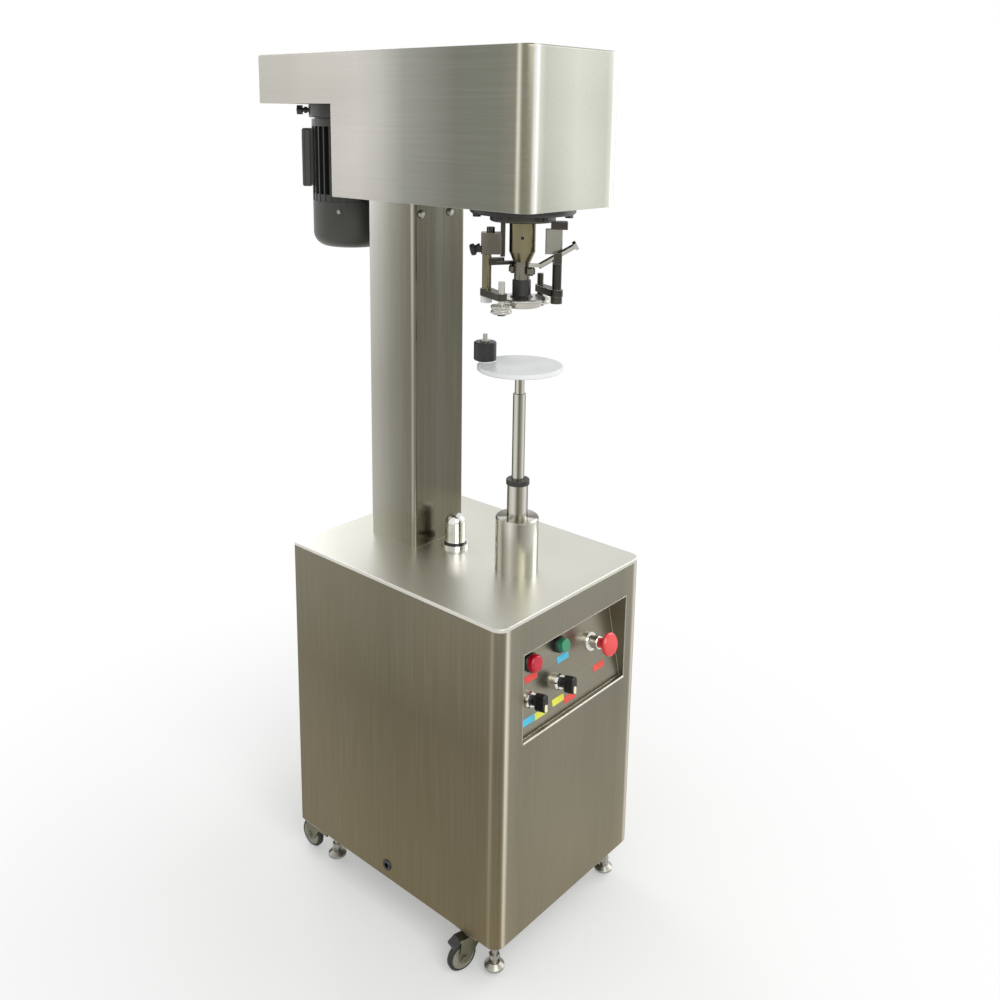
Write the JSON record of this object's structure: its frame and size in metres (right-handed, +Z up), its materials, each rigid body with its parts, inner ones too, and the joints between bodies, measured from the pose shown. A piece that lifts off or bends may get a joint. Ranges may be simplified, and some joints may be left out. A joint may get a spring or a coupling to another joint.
{
  "type": "can seamer",
  "caption": "Free-standing can seamer: stainless cabinet on casters, column with motor head, open seaming turret, lifter with can disc, and tilted control panel.",
  "frame": {"origin": "on the floor under the middle of the machine's bounding box", "axes": "+Z up, -Y towards the operator, +X to the operator's right"},
  "size_m": [0.4548, 0.7226, 1.59],
  "materials": {
    "stainless": "brushed",
    "zinc_steel": "satin",
    "machined_steel": "polished",
    "chrome": "polished",
    "cast_iron": "matte",
    "motor_black": "satin",
    "aluminium": "satin",
    "black_plastic": "matte",
    "white_plastic": "gloss",
    "red_plastic": "gloss",
    "green_plastic": "gloss",
    "belt_rubber": "matte",
    "wheel_tyre": "matte"
  },
  "bodies": {
    "root": {"base_pan": "zinc_steel", "bearing_cover": "machined_steel", "bearing_housing": "cast_iron", "cabinet_shell": "stainless", "cable_entries": "black_plastic", "centre_shaft": "machined_steel", "column": "stainless", "control_panel": "stainless", "dome_cap": "chrome", "drive_belt": "belt_rubber", "electrics_plate": "zinc_steel", "frame_bolts": "zinc_steel", "head_plate": "zinc_steel", "hood": "stainless", "hood_cover": "stainless", "lift_actuator": "aluminium", "lifter_base": "machined_steel", "motor_body": "motor_black", "motor_fan_cover": "motor_black", "panel_fittings": "chrome", "pilot_lamp": "red_plastic", "rear_panel": "stainless", "seaming_chuck": "machined_steel", "shaft_anchor": "zinc_steel", "spindle_bearings": "machined_steel", "table_top": "stainless", "terminal_box": "motor_black"},
    "rotor": {"motor_shaft": "zinc_steel", "motor_pulley": "cast_iron"},
    "turret": {"turret_spindle": "zinc_steel", "spindle_pulley": "cast_iron", "carrier_plate": "machined_steel", "arm_hangers": "machined_steel"},
    "cone": {"seaming_cone": "machined_steel"},
    "first_operation_arm": {"first_arm": "machined_steel"},
    "second_operation_arm": {"second_arm": "machined_steel"},
    "first_seam_roller": {"first_roller": "machined_steel"},
    "second_seam_roller": {"second_roller": "machined_steel"},
    "first_cam_follower": {"first_follower": "machined_steel"},
    "second_cam_follower": {"second_follower": "machined_steel"},
    "lifter": {"lifter_sleeve": "machined_steel"},
    "height_rod": {"lifter_rod": "machined_steel", "lifter_disc": "white_plastic"},
    "guide_roller": {"can_guide_roller": "black_plastic"},
    "start": {"start_button": "green_plastic"},
    "emergency_stop": {"stop_button": "red_plastic"},
    "left_selector": {"selector_left": "black_plastic"},
    "right_selector": {"selector_right": "black_plastic"},
    "fork_front_left": {"caster_fork_front_left": "zinc_steel"},
    "wheel_front_left": {"caster_wheel_front_left": "wheel_tyre"},
    "foot_front_left": {"levelling_foot_front_left": "zinc_steel"},
    "fork_front_right": {"caster_fork_front_right": "zinc_steel"},
    "wheel_front_right": {"caster_wheel_front_right": "wheel_tyre"},
    "foot_front_right": {"levelling_foot_front_right": "zinc_steel"},
    "fork_rear_left": {"caster_fork_rear_left": "zinc_steel"},
    "wheel_rear_left": {"caster_wheel_rear_left": "wheel_tyre"},
    "foot_rear_left": {"levelling_foot_rear_left": "zinc_steel"},
    "fork_rear_right": {"caster_fork_rear_right": "zinc_steel"},
    "wheel_rear_right": {"caster_wheel_rear_right": "wheel_tyre"},
    "foot_rear_right": {"levelling_foot_rear_right": "zinc_steel"}
  },
  "joints": [
    {"name": "turret_spin", "type": "hinge", "parent": "root", "child": "turret", "pos_m": [0, -0.19849, 1.31], "axis": [0, 0, 1], "continuous": true},
    {"name": "motor_spin", "type": "hinge", "parent": "root", "child": "rotor", "pos_m": [0, 0.23781, 1.541], "axis": [0, 0, 1], "continuous": true},
    {"name": "cone_slide", "type": "slide", "parent": "turret", "child": "cone", "axis": [0, 0, -1], "range_m": [0, 0.018], "stiffness_N_per_m": 600, "springref_m": -0.015},
    {"name": "first_arm_swing", "type": "hinge", "parent": "turret", "child": "first_operation_arm", "pos_m": [-0.03841, -0.15239, 1.1815], "axis": [0, 0, 1], "range_deg": [0, 9.22]},
    {"name": "first_roller_spin", "type": "hinge", "parent": "first_operation_arm", "child": "first_seam_roller", "pos_m": [-0.06184, -0.20706, 1.16], "axis": [0, 0, 1], "continuous": true},
    {"name": "first_follower_spin", "type": "hinge", "parent": "first_operation_arm", "child": "first_cam_follower", "pos_m": [0.00156, -0.17725, 1.221], "axis": [0, 0, 1], "continuous": true},
    {"name": "second_arm_swing", "type": "hinge", "parent": "turret", "child": "second_operation_arm", "pos_m": [0.03841, -0.24458, 1.1815], "axis": [0, 0, 1], "range_deg": [0, 9.22]},
    {"name": "second_roller_spin", "type": "hinge", "parent": "second_operation_arm", "child": "second_seam_roller", "pos_m": [0.06184, -0.18992, 1.16], "axis": [0, 0, 1], "continuous": true},
    {"name": "second_follower_spin", "type": "hinge", "parent": "second_operation_arm", "child": "second_cam_follower", "pos_m": [-0.00156, -0.21973, 1.221], "axis": [0, 0, 1], "continuous": true},
    {"name": "lifter_raise", "type": "slide", "parent": "root", "child": "lifter", "axis": [0, 0, 1], "range_m": [0, 0.025]},
    {"name": "height_adjust", "type": "slide", "parent": "lifter", "child": "height_rod", "axis": [0, 0, 1], "range_m": [-0.1, 0]},
    {"name": "guide_roller_spin", "type": "hinge", "parent": "height_rod", "child": "guide_roller", "pos_m": [-0.0186, -0.13319, 1.06], "axis": [0, 0, 1], "continuous": true},
    {"name": "start_push", "type": "slide", "parent": "root", "child": "start", "axis": [0, 0.9765, -0.2157], "range_m": [0, 0.005], "stiffness_N_per_m": 300, "springref_m": -0.004},
    {"name": "stop_push", "type": "slide", "parent": "root", "child": "emergency_stop", "axis": [0, 0.9765, -0.2157], "range_m": [0, 0.006]},
    {"name": "left_selector_turn", "type": "hinge", "parent": "root", "child": "left_selector", "pos_m": [-0.103, -0.31453, 0.51057], "axis": [0, -0.9765, 0.2157], "range_deg": [0, 90]},
    {"name": "right_selector_turn", "type": "hinge", "parent": "root", "child": "right_selector", "pos_m": [-0.023, -0.31475, 0.50959], "axis": [0, -0.9765, 0.2157], "range_deg": [0, 90]},
    {"name": "swivel_front_left", "type": "hinge", "parent": "root", "child": "fork_front_left", "pos_m": [-0.17, -0.26319, 0.08], "axis": [0, 0, 1], "range_deg": [-189.9, 54.1]},
    {"name": "roll_front_left", "type": "hinge", "parent": "fork_front_left", "child": "wheel_front_left", "pos_m": [-0.19898, -0.25542, 0.028], "axis": [-0.2588, -0.9659, 0], "continuous": true},
    {"name": "level_front_left", "type": "slide", "parent": "root", "child": "foot_front_left", "axis": [0, 0, 1], "range_m": [-0.014, 0.01]},
    {"name": "swivel_front_right", "type": "hinge", "parent": "root", "child": "fork_front_right", "pos_m": [0.17, -0.26319, 0.08], "axis": [0, 0, 1], "range_deg": [-239.1, 4.9]},
    {"name": "roll_front_right", "type": "hinge", "parent": "fork_front_right", "child": "wheel_front_right", "pos_m": [0.14181, -0.27345, 0.028], "axis": [0.342, -0.9397, 0], "continuous": true},
    {"name": "level_front_right", "type": "slide", "parent": "root", "child": "foot_front_right", "axis": [0, 0, 1], "range_m": [-0.014, 0.01]},
    {"name": "swivel_rear_left", "type": "hinge", "parent": "root", "child": "fork_rear_left", "pos_m": [-0.17, 0.16181, 0.08], "axis": [0, 0, 1], "range_deg": [-114.9, 129.1]},
    {"name": "roll_rear_left", "type": "hinge", "parent": "fork_rear_left", "child": "wheel_rear_left", "pos_m": [-0.17, 0.19181, 0.028], "axis": [-1, 0, 0], "continuous": true},
    {"name": "level_rear_left", "type": "slide", "parent": "root", "child": "foot_rear_left", "axis": [0, 0, 1], "range_m": [-0.014, 0.01]},
    {"name": "swivel_rear_right", "type": "hinge", "parent": "root", "child": "fork_rear_right", "pos_m": [0.17, 0.16181, 0.08], "axis": [0, 0, 1], "range_deg": [-39.1, 204.9]},
    {"name": "roll_rear_right", "type": "hinge", "parent": "fork_rear_right", "child": "wheel_rear_right", "pos_m": [0.2, 0.16181, 0.028], "axis": [0, 1, 0], "continuous": true},
    {"name": "level_rear_right", "type": "slide", "parent": "root", "child": "foot_rear_right", "axis": [0, 0, 1], "range_m": [-0.014, 0.01]}
  ],
  "couplings": [
    {"joint": "motor_spin", "follows": "turret_spin", "ratio": 2.129},
    {"joint": "first_arm_swing", "follows": "cone_slide", "rad_per_m": 8.8915},
    {"joint": "second_arm_swing", "follows": "cone_slide", "rad_per_m": 8.8915}
  ]
}
